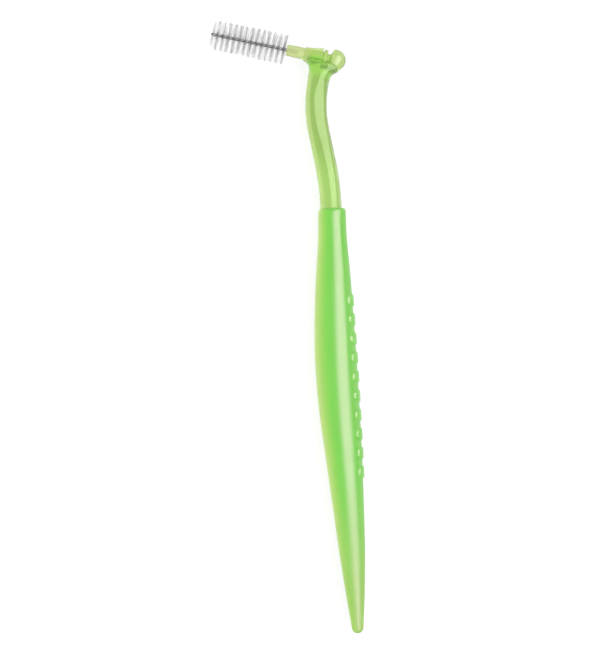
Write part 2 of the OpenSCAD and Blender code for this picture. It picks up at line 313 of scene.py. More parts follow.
# Lamps, with their powers in watts
STRIP = dict(place=(0.145, 0.0, 0.21), size=(0.235, 0.6), power=2.25, skew=24.0, on_body=False)
FILL = dict(place=(0.2, 0.0, 0.5), size=(0.5, 0.9), power=2.1, in_gloss=False)
LEFT = dict(place=(-0.45, 0.0, 0.06), size=(0.12, 0.9), power=1.4, in_gloss=False)

# The photograph's frame and scale, where the head's middle lies in it, and the camera, in millimetres
PHOTO_W = 595
PHOTO_H = 655
MM_PER_PX = 0.22
HEAD_PX = (323.3, 57.8)
CAMERA_AWAY = 600.0
CAMERA_SENSOR = 36.0
CAMERA_CLIP = 10.0

# Places that follow from the sizes
ring_rear = -RING_REAR_BACK
ring_front = ring_rear - RING_L
bore_r = SHANK_D / 2 + RING_GAP
channel_r = KNOB_D / 2 + KNOB_GAP
shank_front = ring_front - SHANK_FREE
collar_front = ring_rear + COLLAR_GAP
collar_rear = collar_front + COLLAR_T
cone_front = collar_rear + WAIST_L
cone_rear = cone_front + KNOB_CONE_L
knob_r = KNOB_D / 2
knob_mid = cone_rear + KNOB_AHEAD_SHARE * knob_r
neck_r = NECK_D / 2
studs_mid = STUD_MID_SHARE * GRIP_L
wire_end = shank_front - WIRE_L
root_place = shank_front + WIRE_ROOT
wire_r = WIRE_D / 2
orbit_r = TWIST_D / 2 - wire_r
loop_place = wire_end + orbit_r + wire_r
twist_run = root_place - loop_place
fade_l = HALF_TURN * FADE_SHARE


def turned(r, angle):
    """A plane vector of length r at an angle in degrees."""
    a = np.radians(angle)
    return r * np.stack([np.cos(a), np.sin(a)], -1)


# The knob is the refill's rearmost and lowest ball, so its box in the frame places the head.
shank_low, shank_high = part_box("refill_shank")
HEAD = np.array([
    shank_high.x / MM - knob_r - turned(knob_mid, -HEAD_TILT)[0],
    shank_low.y / MM + knob_r - turned(knob_mid, -HEAD_TILT)[1],
    (shank_low.z + shank_high.z) / 2 / MM,
])

# Directions in the neck's plane: along the refill, up from the neck, down the page, across and down the grip
along_dir = turned(1, -HEAD_TILT)
up_dir = turned(1, 90 - HEAD_TILT)
page_down = np.array([0.0, -1.0])
grip_side = turned(1, GRIP_LEAN)
grip_down = turned(1, GRIP_LEAN - 90)

# Middle line of the neck, from the head's middle: straight, upper bend, straight, lower bend, straight
bend_start = -HEAD_H * up_dir
upper_mid = bend_start + turned(UPPER_BEND_R, -HEAD_TILT)
upper_end = upper_mid - turned(UPPER_BEND_R, HEAD_TILT)
lower_start = upper_end + turned(MID_STRAIGHT, HEAD_TILT - 90)
lower_mid = lower_start - turned(LOWER_BEND_R, HEAD_TILT)
lower_end = lower_mid + turned(LOWER_BEND_R, GRIP_LEAN)
rim_mid = lower_end + turned(LOW_STRAIGHT, GRIP_LEAN - 90)


# Shared shapes
def make_piece(name, points, faces, body, slot, node, material):
    """A mesh piece from points in millimetres about the head's middle, riding on a body for a CAD node."""
    mesh = bpy.data.meshes.new(name)
    mesh.from_pydata(((np.asarray(points) + HEAD) * MM).tolist(), [], [list(map(int, f)) for f in faces])
    mesh.validate()
    mesh.update()
    mesh.polygons.foreach_set("use_smooth", [True] * len(mesh.polygons))
    piece = bpy.data.objects.new(name, mesh)
    bpy.context.scene.collection.objects.link(piece)
    mesh.materials.append(material)
    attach(piece, body)
    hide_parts(node)
    return piece


def flat_to_head(plane, height):
    """Points in the neck's plane and their heights above it, as points in space."""
    plane = np.asarray(plane, float)
    return np.concatenate([plane, np.broadcast_to(height, plane.shape[:-1])[..., None]], -1)


def smooth_between(value, start, stop):
    """Nothing at start, one at stop, and a smooth step between them."""
    share = np.clip((value - start) / (stop - start), 0, 1)
    return share ** 2 * (3 - 2 * share)


def quarter_turn(count):
    """Angles in radians, evenly from nothing to a quarter turn."""
    return [math.radians(90 * k / (count - 1)) for k in range(count)]


def skin(rings):
    """Points and faces of a closed tube through rings of equally many points, with a fan in each end."""
    count = len(rings[0])
    last = len(rings) - 1
    points = np.concatenate(rings)
    faces = []
    for i in range(last):
        for k in range(count):
            m = (k + 1) % count
            faces.append((i * count + k, i * count + m, (i + 1) * count + m, (i + 1) * count + k))
    middles = [np.mean(rings[0], 0), np.mean(rings[last], 0)]
    first = len(points)
    points = np.concatenate([points, middles])
    for k in range(count):
        m = (k + 1) % count
        faces.append((first, m, k))
        faces.append((first + 1, last * count + k, last * count + m))
    return points, faces


def rounded(corners, radius):
    """An open outline with each inner corner replaced by an arc of at most that radius."""
    corners = [np.array(c, float) for c in corners]
    out = [corners[0]]
    for a, b, c in zip(corners, corners[1:], corners[2:]):
        back_l = np.linalg.norm(a - b)
        ahead_l = np.linalg.norm(c - b)
        back = (a - b) / back_l
        ahead = (c - b) / ahead_l
        half = math.acos(max(-1, min(1, float(back @ ahead)))) / 2
        if half > math.radians(STRAIGHT_FROM):
            out.append(b)
            continue
        reach = min(radius / math.tan(half), back_l / CORNER_SIDE_PARTS, ahead_l / CORNER_SIDE_PARTS)
        r = reach * math.tan(half)
        middle = b + (back + ahead) / np.linalg.norm(back + ahead) * (r / math.sin(half))
        start = b + back * reach - middle
        stop = b + ahead * reach - middle
        turn = math.atan2(start[0] * stop[1] - start[1] * stop[0], float(start @ stop))
        for k in range(CORNER_STEPS + 1):
            s = turn * k / CORNER_STEPS
            out.append(middle + np.array([
                start[0] * math.cos(s) - start[1] * math.sin(s),
                start[0] * math.sin(s) + start[1] * math.cos(s),
            ]))
    out.append(corners[-1])
    return out


def revolved(profile):
    """Points and faces of a closed solid turned about the refill's axis. The profile, from its front to its
    rear, is (radius, place along the axis), with both ends on the axis."""
    circle = turned(1, np.arange(REVOLVED_SIDES) * 360.0 / REVOLVED_SIDES)
    rings = []
    for radius, place in profile[1:-1]:
        plane = place * along_dir + circle[:, :1] * radius * up_dir
        rings.append(flat_to_head(plane, circle[:, 1] * radius))
    points, faces = skin(rings)
    points[-2] = flat_to_head(profile[0][1] * along_dir, 0.0)
    points[-1] = flat_to_head(profile[-1][1] * along_dir, 0.0)
    return points, faces


# Surfaces of fields, which are negative inside a solid and zero on its skin
def blended_min(a, b, r):
    """The nearer of two solids' fields, with a fillet of about r where they meet."""
    near = np.maximum(r - np.abs(a - b), 0) / r
    return np.minimum(a, b) - near ** 2 * r / 4


def blended_max(a, b, r):
    """The field of what two solids share, with an edge rounded by about r where their skins cross."""
    return -blended_min(-a, -b, r)


def edge_ends(axis, across):
    """Slices that pick the low and the high ends of a grid's edges along an axis, with across elsewhere."""
    low = [across] * 3
    high = [across] * 3
    low[axis] = slice(None, -1)
    high[axis] = slice(1, None)
    return tuple(low), tuple(high)


def cell_points(grid, value):
    """One point in each cell of a grid that the surface crosses, and the points' numbers by cell."""
    shape = tuple(n - 1 for n in value.shape)
    total = np.zeros(shape + (3,))
    count = np.zeros(shape)
    inside = value < 0
    for axis in range(3):
        low, high = edge_ends(axis, slice(None))
        crosses = inside[low] != inside[high]
        share = np.where(crosses, value[low] / np.where(crosses, value[low] - value[high], 1), 0)
        place = grid[low] + share[..., None] * (grid[high] - grid[low])
        others = [d for d in range(3) if d != axis]
        for near in ((0, 0), (0, 1), (1, 0), (1, 1)):
            cells = [slice(None)] * 3
            for d, n in zip(others, near):
                cells[d] = slice(1, None) if n else slice(None, -1)
            cells = tuple(cells)
            total += np.where(crosses[cells][..., None], place[cells], 0)
            count += crosses[cells]
    active = count > 0
    number = np.full(shape, -1)
    number[active] = np.arange(int(active.sum()))
    return total[active] / count[active][:, None], number


def cell_faces(inside, number):
    """A face for each edge of the grid that the surface crosses, through the points of the cells round it."""
    faces = []
    for axis in range(3):
        low, high = edge_ends(axis, slice(1, -1))
        where = np.argwhere(inside[low] != inside[high])
        leaving = inside[low][tuple(where.T)]
        base = where.copy()
        for d in range(3):
            if d != axis:
                base[:, d] += 1
        corners = []
        for du, dv in ((-1, -1), (0, -1), (0, 0), (-1, 0)):
            cell = base.copy()
            cell[:, (axis + 1) % 3] += du
            cell[:, (axis + 2) % 3] += dv
            corners.append(number[tuple(cell.T)])
        quads = np.stack(corners, 1)
        quads[~leaving] = quads[~leaving][:, ::-1]
        faces.append(quads)
    return np.concatenate(faces)


def parted(points, faces):
    """Gives each of two sheets of the surface its own points where they met in one cell of the grid."""
    pairs = np.sort(np.stack([faces, np.roll(faces, -1, 1)], -1).reshape(-1, 2), 1)
    pairs, count = np.unique(pairs, axis=0, return_counts=True)
    shared = {tuple(pair) for pair in pairs[count > 2].tolist()}
    for corner in sorted({end for pair in shared for end in pair}):
        touching = np.argwhere((faces == corner).any(1))[:, 0].tolist()
        sheet = {n: n for n in touching}
        neighbours = {}
        for n in touching:
            face = faces[n].tolist()
            at = face.index(corner)
            for other in (face[at - 1], face[(at + 1) % 4]):
                if (min(corner, other), max(corner, other)) not in shared:
                    neighbours.setdefault(other, []).append(n)
        for first, *rest in neighbours.values():
            for n in rest:
                old = sheet[n]
                new = sheet[first]
                sheet = {m: new if own == old else own for m, own in sheet.items()}
        for order, own in enumerate(sorted(set(sheet.values()))):
            members = [n for n in touching if sheet[n] == own]
            middle = points[faces[members]].mean((0, 1))
            if order == 0:
                points[corner] = middle
            else:
                faces[members] = np.where(faces[members] == corner, len(points), faces[members])
                points = np.concatenate([points, middle[None]])
    return points, faces


def settled(field, points):
    """Points moved along the field's slope to where the field is nearly zero."""
    slopes = []
    for e in np.eye(3):
        rise = field(points + SLOPE_STEP * e) - field(points - SLOPE_STEP * e)
        slopes.append(rise / (2 * SLOPE_STEP))
    slope = np.stack(slopes, -1)
    move = field(points)[:, None] * slope / np.maximum((slope ** 2).sum(-1), SLOPE_LEAST)[:, None]
    size = np.linalg.norm(move, axis=-1, keepdims=True)
    return points - move * np.minimum(1, SETTLE_MOST / np.maximum(size, TINY))


def surface(field, xs, ys, zs):
    """Points and faces of the closed surface where field(points) is zero, on a grid that may be uneven:
    one point in each cell that the surface crosses, then moved onto the surface along the field's slope."""
    grid = np.stack(np.meshgrid(xs, ys, zs, indexing="ij"), -1)
    value = field(grid.reshape(-1, 3)).reshape(grid.shape[:3])
    points, number = cell_points(grid, value)
    points, faces = parted(points, cell_faces(value < 0, number))
    for _ in range(SETTLE_ROUNDS):
        points = settled(field, points)
    return points, faces


# Grip
def grip_row(t):
    """The rows of GRIP_SHARES as a smooth cubic: half width and bow shares at a share of the length."""
    last = len(GRIP_SHARES) - 1
    i = min(last - 1, int(np.searchsorted(GRIP_SHARES[:, 0], t, side="right")) - 1)

    def knot(n):
        return GRIP_SHARES[max(0, min(last, n))]

    def slope(n):
        return (knot(n + 1) - knot(n - 1)) / (knot(n + 1)[0] - knot(n - 1)[0])

    span = knot(i + 1)[0] - knot(i)[0]
    f = (t - knot(i)[0]) / span
    row = (
        (2 * f ** 3 - 3 * f ** 2 + 1) * knot(i)
        + (f ** 3 - 2 * f ** 2 + f) * span * slope(i)
        + (3 * f ** 2 - 2 * f ** 3) * knot(i + 1)
        + (f ** 3 - f ** 2) * span * slope(i + 1)
    )
    return row[1], row[2]


def grip_section(far):
    """Half width, half thickness and bow of the grip at a distance from its rim."""
    t = min(1.0, far / (GRIP_L - TIP_R))
    width_share, bow_share = grip_row(t)
    half = width_share * GRIP_W / 2
    flatness = 1 + (GRIP_T / GRIP_W - 1) * min(1.0, t / FLATTENED_SHARE)
    return half, half * flatness, bow_share * GRIP_BOW - NECK_ASIDE


def stud_height(far, turn):
    """Height of the raised studs above the grip, at a distance from the rim and at angles round the grip."""
    first = studs_mid - (STUD_COUNT - 1) * STUD_PITCH / 2
    nearest = first + STUD_PITCH * max(0, min(STUD_COUNT - 1, round((far - first) / STUD_PITCH)))
    away = (turn + 180) % 360 - 180
    ahead = np.abs((far - nearest) / STUD_HALF_L) ** STUD_POWER
    aside = np.abs(away / STUD_HALF_ARC) ** STUD_POWER
    inwards = 1.0 - (ahead + aside) ** (1 / STUD_POWER)
    return STUD_H * smooth_between(inwards, 0, STUD_FLANK_SHARE)


def grip_angles():
    """Angles round the grip, close together where the raised studs are."""
    half = STUD_HALF_ARC + STUD_ARC_MARGIN
    fine = np.linspace(-half, half, STUD_SIDES)
    coarse = np.linspace(half, 360 - half, OTHER_SIDES)[1:-1]
    return np.concatenate([fine, coarse])


def grip_ring(far, half, deep, bow, turn, lift=0.0):
    """A ring round the grip's axis at a distance from the rim, of a half width and a half thickness."""
    side = (half + lift) * np.cos(np.radians(turn)) - bow
    plane = rim_mid + side[:, None] * grip_side + far * grip_down
    return flat_to_head(plane, (deep + lift) * np.sin(np.radians(turn)))


def socket_rings(turn):
    """Rings of the tang's socket, from the middle of its floor to its rounded mouth in the rim."""
    socket_r = neck_r + TANG_GAP
    floor = TANG_L + TANG_GAP
    corner, wall_end = SOCKET_END_STOPS
    wall_start, lip = SOCKET_MOUTH_STOPS
    floor_r = socket_r * SOCKET_FLOOR_SHARE
    rings = [grip_ring(floor, floor_r, floor_r, 0.0, turn)]
    for far in (floor, floor - corner, *np.linspace(floor - wall_end, wall_start, SOCKET_RINGS), lip):
        rings.append(grip_ring(far, socket_r, socket_r, 0.0, turn))
    for s in quarter_turn(MOUTH_RINGS):
        r = socket_r + MOUTH_R * (1 - math.cos(s))
        rings.append(grip_ring(MOUTH_R * (1 - math.sin(s)), r, r, 0.0, turn))
    return rings


def grip_mesh():
    """The grip's closed mesh: its socket, its rounded rim, its long body with the studs, and its tip."""
    turn = grip_angles()
    rings = socket_rings(turn)
    rim_half, _, rim_bow = grip_section(0)
    for s in quarter_turn(RIM_RINGS):
        half = rim_half - RIM_ROUND * (1 - math.sin(s))
        rings.append(grip_ring(RIM_ROUND_L * (1 - math.cos(s)), half, half, rim_bow, turn))
    studs_from = studs_mid - (STUD_COUNT / 2) * STUD_PITCH
    studs_to = studs_mid + (STUD_COUNT / 2) * STUD_PITCH
    for far in np.concatenate([
        np.linspace(RIM_ROUND_L, studs_from, UPPER_RINGS)[1:],
        np.linspace(studs_from, studs_to, STUD_RINGS)[1:],
        np.linspace(studs_to, GRIP_L - TIP_R, LOWER_RINGS)[1:],
    ]):
        half, deep, bow = grip_section(far)
        rings.append(grip_ring(far, half, deep, bow, turn, stud_height(far, turn)))
    end_half, end_deep, end_bow = grip_section(GRIP_L)
    for s in quarter_turn(TIP_RINGS)[1:-1]:
        far = GRIP_L - TIP_R + TIP_R * math.sin(s)
        rings.append(grip_ring(far, end_half * math.cos(s), end_deep * math.cos(s), end_bow, turn))
    points, faces = skin(rings)
    points[-1] = flat_to_head(rim_mid - end_bow * grip_side + GRIP_L * grip_down, 0.0)
    return points, faces


# Neck and head
def neck_line():
    """Points of the neck's middle line in its plane, from the tang's end to the start of the head."""
    lower_turn = np.linspace(GRIP_LEAN, HEAD_TILT, LOWER_BEND_POINTS)
    upper_turn = np.linspace(HEAD_TILT, -HEAD_TILT, UPPER_BEND_POINTS)
    lower = [lower_mid + turned(LOWER_BEND_R, a) for a in lower_turn]
    upper = [upper_mid - turned(UPPER_BEND_R, a) for a in upper_turn]
    return np.array([rim_mid + TANG_L * grip_down, rim_mid, *lower, *upper, bend_start * NECK_TOP_SHARE])


def line_distance(plane, line):
    """Distance in the plane from each point to a line of straight stretches, negative on its left, and how
    far the point lies past the line's start."""
    best = np.full(len(plane), np.inf)
    for a, b in zip(line, line[1:]):
        from_a = plane - a
        share = np.clip(from_a @ (b - a) / ((b - a) @ (b - a)), 0, 1)
        away = np.linalg.norm(from_a - share[:, None] * (b - a), axis=-1)
        right = (b - a)[1] * from_a[:, 0] - (b - a)[0] * from_a[:, 1] > 0
        best = np.where(away < np.abs(best), np.where(right, away, -away), best)
    past = (plane - line[0]) @ ((line[1] - line[0]) / np.linalg.norm(line[1] - line[0]))
    return best, past


def rod_field(plane, height):
    """The neck's bent rod with its tang, and a long bowed flat on its right above and below."""
    away, past = line_distance(plane, neck_line())
    rod = np.sqrt(away ** 2 + height ** 2) - neck_r
    climb = (plane[:, 1] - rim_mid[1]) / (bend_start[1] - rim_mid[1])
    whole = smooth_between(climb, *FLAT_FOOT_SHARES) * smooth_between(climb, *FLAT_TOP_SHARES)
    flat_mid = neck_r - FLAT_DROP * whole - FLAT_R
    side = flat_mid * math.sin(math.radians(FLAT_TILT))
    tall = flat_mid * math.cos(math.radians(FLAT_TILT))
    flat = np.hypot(away - side, np.abs(height) - tall) - FLAT_R
    rod = blended_max(rod, flat, FLAT_EDGE_R)
    return blended_max(rod, -past, TANG_END_R)


def cradle_field(along, up, height):
    """The block below the refill, which widens from the rod to the cradle."""
    depths, fronts, rears, sides = CRADLE_SHARES.T
    half_w = math.sqrt(channel_r ** 2 - CRADLE_DROP ** 2) + CRADLE_WALL
    depth = np.clip(-up / HEAD_H, depths[0], depths[-1])
    front = neck_r + np.interp(depth, depths, fronts) * (-ring_front - neck_r)
    rear = neck_r + np.interp(depth, depths, rears) * (CRADLE_REACH - neck_r)
    deep = neck_r + np.interp(depth, depths, sides) * (half_w - neck_r)
    power = 2 / np.interp(depth, depths[[0, -1]], CRADLE_ROUNDNESS)
    mid = (rear - front) / 2
    half = (rear + front) / 2
    ahead = np.abs((along - mid) / half) ** power
    aside = np.abs(height / deep) ** power
    block = (ahead + aside) ** (1 / power) - 1
    return np.maximum(block * np.minimum(half, deep), -HEAD_H - up)


def ring_field(along, radial):
    """The ring without its bore: round about the refill's axis, flared to its rear, with rounded ends."""
    share = np.clip((along - ring_front) / RING_L, 0, 1)
    ring = radial - (RING_FRONT_D + (RING_REAR_D - RING_FRONT_D) * share ** RING_FLARE) / 2
    ring = blended_max(ring, along - ring_rear, RING_REAR_R)
    return blended_max(ring, ring_front - along, RING_NOSE_R)


def neck_field(points):
    """The neck's field: a bent rod that widens into the cradle and carries the ring."""
    plane = points[:, :2]
    height = points[:, 2]
    along = plane @ along_dir
    up = plane @ up_dir
    radial = np.sqrt(up ** 2 + height ** 2)
    body = blended_min(rod_field(plane, height), cradle_field(along, up, height), CRADLE_BLEND_R)
    body = blended_max(body, up + CRADLE_DROP, CRADLE_EDGE_R)
    body = blended_min(body, ring_field(along, radial), RING_BLEND_R)
    channel = np.maximum(radial - channel_r, ring_rear - along)
    hole = np.minimum(radial - bore_r, channel)
    return blended_max(body, -hole, LIP_R)


def neck_mesh():
    """The neck's closed mesh, on a grid whose steps down the page are longer below the head."""
    line = neck_line()
    low_x = min(line[:, 0].min() - neck_r - GRID_MARGIN, ring_front - GRID_SIDE_MARGIN)
    high_x = max(CRADLE_REACH, line[:, 0].max() + neck_r) + GRID_SIDE_MARGIN
    low_y = line[0][1] - neck_r
    high_y = RING_REAR_D / 2 + GRID_TOP_MARGIN
    head_y = bend_start[1] - GRID_HEAD_MARGIN
    deep = channel_r + CRADLE_WALL + GRID_MARGIN
    xs = np.arange(low_x, high_x, GRID_STEP)
    ys = [np.arange(low_y, head_y, GRID_STRETCH * GRID_STEP), np.arange(head_y, high_y, GRID_STEP)]
    zs = np.arange(-deep, deep + GRID_STEP, GRID_STEP)
    return surface(neck_field, xs, np.concatenate(ys), zs)


# Refill
def shank_mesh():
    """The refill moulding's closed mesh: the wire's hole, tapered shank, collar, waist and domed knob."""
    hole_r = TWIST_D / 2 + WIRE_GAP
    hole_end = root_place + WIRE_GAP
    taper_end = shank_front + SHANK_FREE * SHANK_TAPER_SHARE
    cone_end_r = math.sqrt(knob_r ** 2 - (knob_mid - cone_rear) ** 2)
    outline = rounded([
        (hole_r, hole_end),
        (hole_r, shank_front),
        (SHANK_FRONT_D / 2, shank_front),
        (SHANK_D / 2, taper_end),
        (SHANK_D / 2, collar_front),
        (COLLAR_D / 2, collar_front),
        (COLLAR_D / 2, collar_rear),
        (WAIST_D / 2, collar_rear),
        (WAIST_D / 2, cone_front),
        (cone_end_r, cone_rear),
    ], EDGE_R)
    dome_from = math.degrees(math.acos((cone_rear - knob_mid) / knob_r))
    dome = []
    for a in np.radians(np.linspace(dome_from, 0, DOME_POINTS)[1:-1]):
        dome.append((knob_r * math.sin(a), knob_mid + knob_r * math.cos(a)))
    return revolved([(0, hole_end), *outline, *dome, (0, knob_mid + knob_r)])


# Wire
def twist_at(run):
    """Angle of the strands at a run along the wire from its root. The twist dies away before the loop."""
    late = max(0.0, run - (twist_run - fade_l))
    return 180 / HALF_TURN * (run - late ** 2 / (2 * fade_l))


def on_wire(across, place):
    """A point at an offset across the wire and a place along the refill's axis."""
    return flat_to_head(place * along_dir + across[0] * up_dir, across[1])


def wire_mesh():
    """The wire's closed mesh: along one strand from its root, round the loop and back along the other."""
    steps = round(twist_run / HALF_TURN * STEPS_A_HALF_TURN)
    runs = [twist_run * k / steps for k in range(steps + 1)]
    stops = [(turned(orbit_r, twist_at(run)), root_place - run) for run in runs]
    loop_turn = twist_at(twist_run)
    for k in range(1, LOOP_STEPS):
        s = math.pi * k / LOOP_STEPS
        stops.append((turned(orbit_r * math.cos(s), loop_turn), loop_place - orbit_r * math.sin(s)))
    stops += [(-turned(orbit_r, twist_at(run)), root_place - run) for run in reversed(runs)]
    line = np.array([on_wire(*s) for s in stops])
    ahead = np.gradient(line, axis=0)
    ahead /= np.linalg.norm(ahead, axis=1)[:, None]
    across = np.cross(ahead[0], [0.0, 0.0, 1.0])
    circle = turned(wire_r, np.arange(WIRE_SIDES) * 360.0 / WIRE_SIDES)
    rings = []
    for point, heading in zip(line, ahead):
        across = across - (across @ heading) * heading
        across /= np.linalg.norm(across)
        rings.append(point + circle[:, :1] * across + circle[:, 1:] * np.cross(heading, across))
    return skin(rings)


# Bristles
def filament_points(run, angle, tall, lean, curl):
    """Rings of points along one filament, which stands out at an angle from a run along the wire."""
    out = turned(1, angle)
    around = turned(1, angle + 90)
    points = []
    for s in range(FILAMENT_STEPS + 1):
        f = s / FILAMENT_STEPS
        r = FILAMENT_ROOT_R + (tall - FILAMENT_ROOT_R) * f
        thick = FILAMENT_D / 2 * (1 - FILAMENT_TAPER * f)
        middle = out * r + around * (curl * r * f)
        place = root_place - run + lean * r
        for k in range(FILAMENT_SIDES):
            a = 2 * math.pi * k / FILAMENT_SIDES
            points.append(on_wire(middle + around * (thick * math.cos(a)), place + thick * math.sin(a)))
    return points


def filament_faces(first):
    """Faces of one filament whose points start at a number, with a face in each end."""
    sides = FILAMENT_SIDES
    faces = []
    for s in range(FILAMENT_STEPS):
        low = first + s * sides
        for k in range(sides):
            m = (k + 1) % sides
            faces.append((low + k, low + m, low + sides + m, low + sides + k))
    faces.append(tuple(first + k for k in reversed(range(sides))))
    faces.append(tuple(first + FILAMENT_STEPS * sides + k for k in range(sides)))
    return faces


def bristle_mesh():
    """The filaments, a pair to each place on the wire, bunched once in each half turn of the strands."""
    rng = random.Random(FILAMENT_SEED)
    start = WIRE_ROOT + BARE_ROOT
    length = WIRE_L - BARE_TIP - BARE_ROOT
    count = round(length / HALF_TURN * FILAMENTS_A_HALF_TURN)
    points = []
    faces = []
    for i in range(count):
        share = (i + 0.5) / count
        run = start + length * share
        run += BUNCHING * HALF_TURN / (2 * math.pi) * math.sin(2 * math.pi * run / HALF_TURN)
        reach = (BRUSH_ROOT_D * (1 - share) + BRUSH_TIP_D * share) / 2
        for side in (0, 180):
            angle = twist_at(run) + 90 + side + rng.gauss(0, FILAMENT_FAN)
            lean = rng.gauss(0, FILAMENT_LEAN)
            curl = rng.gauss(0, FILAMENT_CURL)
            tall = reach * (1 - abs(rng.gauss(0, FILAMENT_SHORT)))
            faces += filament_faces(len(points))
            points += filament_points(run, angle, tall, lean, curl)
    return points, faces


# Nodes. Their owner is a material or the world.
def new_node(owner, kind):
    """A new shader node of a kind."""
    return owner.node_tree.nodes.new(kind)


def link(owner, output, socket):
    """Joins a node's output to another's input."""
    owner.node_tree.links.new(output, socket)


def colour_mix(owner, share, first, second):
    """The output of a node that mixes two colours, each a value or another node's output."""
    mix = new_node(owner, "ShaderNodeMix")
    mix.data_type = "RGBA"
    link(owner, share, mix.inputs["Factor"])
    for socket, colour in ((mix.inputs[6], first), (mix.inputs[7], second)):
        if isinstance(colour, tuple):
            socket.default_value = (*colour, 1)
        else:
            link(owner, colour, socket)
    return mix.outputs[2]


def shader_mix(owner, share, first, second):
    """The output of a node that shows the first shader where share is 0 and the second where it is 1."""
    mix = new_node(owner, "ShaderNodeMixShader")
    for socket, output in zip(mix.inputs, (share, first, second)):
        link(owner, output, socket)
    return mix.outputs[0]


def combined(owner, operation, first, second):
    """The output of a node that works on two values, such as ADD or MAXIMUM."""
    maths = new_node(owner, "ShaderNodeMath")
    maths.operation = operation
    link(owner, first, maths.inputs[0])
    link(owner, second, maths.inputs[1])
    return maths.outputs[0]


def stepped(owner, value, start, stop, low=0.0, high=1.0):
    """Low where the value is at start, high at stop, with a smooth step between them."""
    step = new_node(owner, "ShaderNodeMapRange")
    step.interpolation_type = "SMOOTHSTEP"
    step.inputs["From Min"].default_value = start
    step.inputs["From Max"].default_value = stop
    step.inputs["To Min"].default_value = low
    step.inputs["To Max"].default_value = high
    link(owner, value, step.inputs["Value"])
    return step.outputs["Result"]


def noise(owner, place, scale, detail):
    """The output of a noise at a place, of so many spots to a metre and so much detail."""
    spots = new_node(owner, "ShaderNodeTexNoise")
    spots.inputs["Scale"].default_value = scale
    spots.inputs["Detail"].default_value = detail
    link(owner, place, spots.inputs["Vector"])
    return spots.outputs["Fac"]


def measured(owner, kind, output, vector):
    """DOT_PRODUCT or DISTANCE of a node's vector output and a fixed one."""
    maths = new_node(owner, "ShaderNodeVectorMath")
    maths.operation = kind
    maths.inputs[1].default_value = vector
    link(owner, output, maths.inputs[0])
    return maths.outputs["Value"]


def ray_is(owner, *kinds):
    """One where a ray is of any of these kinds, else nothing."""
    path = new_node(owner, "ShaderNodeLightPath")
    out = path.outputs[kinds[0]]
    for kind in kinds[1:]:
        out = combined(owner, "MAXIMUM", out, path.outputs[kind])
    return out


# Patches of another colour are (source, kind, vector, start, stop, colour). They follow the way that the
# skin faces, or the place on the object, and are whole at stop.
def in_space(plane):
    """A direction in the neck's plane as one in space."""
    return (*plane, 0)


def facing(direction, start, stop, colour):
    """A patch where the skin faces a direction, from one cosine of the angle between them to another."""
    return "Normal", "DOT_PRODUCT", in_space(direction), start, stop, colour


def beyond(direction, start, stop, colour):
    """A patch past places along a direction, in millimetres from the head's middle."""
    head = HEAD[:2] @ direction
    return "Object", "DOT_PRODUCT", in_space(direction), (head + start) * MM, (head + stop) * MM, colour


def close_to(middle, start, stop, colour):
    """A patch about a place in the neck's plane, in millimetres from the head's middle, with its radii."""
    place = (HEAD + in_space(middle)) * MM
    return "Object", "DISTANCE", place.tolist(), start * MM, stop * MM, colour


# Materials
def principled(name, colour, **values):
    """A new material and its shader, with each value set on the shader's own socket."""
    material = bpy.data.materials.new(name)
    material.use_nodes = True
    shader = material.node_tree.nodes["Principled BSDF"]
    shader.inputs["Base Color"].default_value = (*colour, 1)
    for key, value in values.items():
        shader.inputs[key.replace("_", " ")].default_value = value
    return material, shader


def moulded_plastic(name, colours, patches, rough_from_to, dulled=(), **values):
    """A moulding whose colour drifts between two, with patches of others, and whose skin has handled gloss
    and faint waves. Each dulled part is (vector, start, stop, rise of roughness)."""
    material, shader = principled(name, colours[0], **values)
    place = new_node(material, "ShaderNodeTexCoord")
    drift = noise(material, place.outputs["Object"], *DRIFT_NOISE)
    tint = colour_mix(material, drift, *colours)
    for source, kind, vector, start, stop, paint in patches:
        share = stepped(material, measured(material, kind, place.outputs[source], vector), start, stop)
        tint = colour_mix(material, share, tint, paint)
    link(material, tint, shader.inputs["Base Color"])
    handled = noise(material, place.outputs["Object"], *HANDLED_NOISE)
    rough = stepped(material, handled, *GLOSS_FROM_TO, *rough_from_to)
    for vector, start, stop, rise in dulled:
        along = measured(material, "DOT_PRODUCT", place.outputs["Object"], vector)
        rough = combined(material, "ADD", rough, stepped(material, along, start, stop, 0.0, rise))
    link(material, rough, shader.inputs["Roughness"])
    bump = new_node(material, "ShaderNodeBump")
    bump.inputs["Strength"].default_value = WAVE_STRENGTH
    bump.inputs["Distance"].default_value = WAVE_H * MM
    link(material, noise(material, place.outputs["Object"], *WAVE_NOISE), bump.inputs["Height"])
    link(material, bump.outputs["Normal"], shader.inputs["Normal"])
    return material


def with_absorption(material, colour, density):
    """Light is taken up along its way through the plastic, so thick places are deeper in colour."""
    volume = new_node(material, "ShaderNodeVolumeAbsorption")
    volume.inputs["Color"].default_value = (*colour, 1)
    volume.inputs["Density"].default_value = density
    link(material, volume.outputs["Volume"], material.node_tree.nodes["Material Output"].inputs["Volume"])
    return material


def speckled(name, colours, scale_and_detail, rough_from_to, **values):
    """Plain drawn stock, steel or nylon, whose colour and gloss vary a little from place to place."""
    material, shader = principled(name, colours[0], **values)
    place = new_node(material, "ShaderNodeTexCoord")
    spots = noise(material, place.outputs["Object"], *scale_and_detail)
    tint = colour_mix(material, stepped(material, spots, *SPOT_FROM_TO), *colours)
    link(material, tint, shader.inputs["Base Color"])
    link(material, stepped(material, spots, *GLOSS_FROM_TO, *rough_from_to), shader.inputs["Roughness"])
    return material


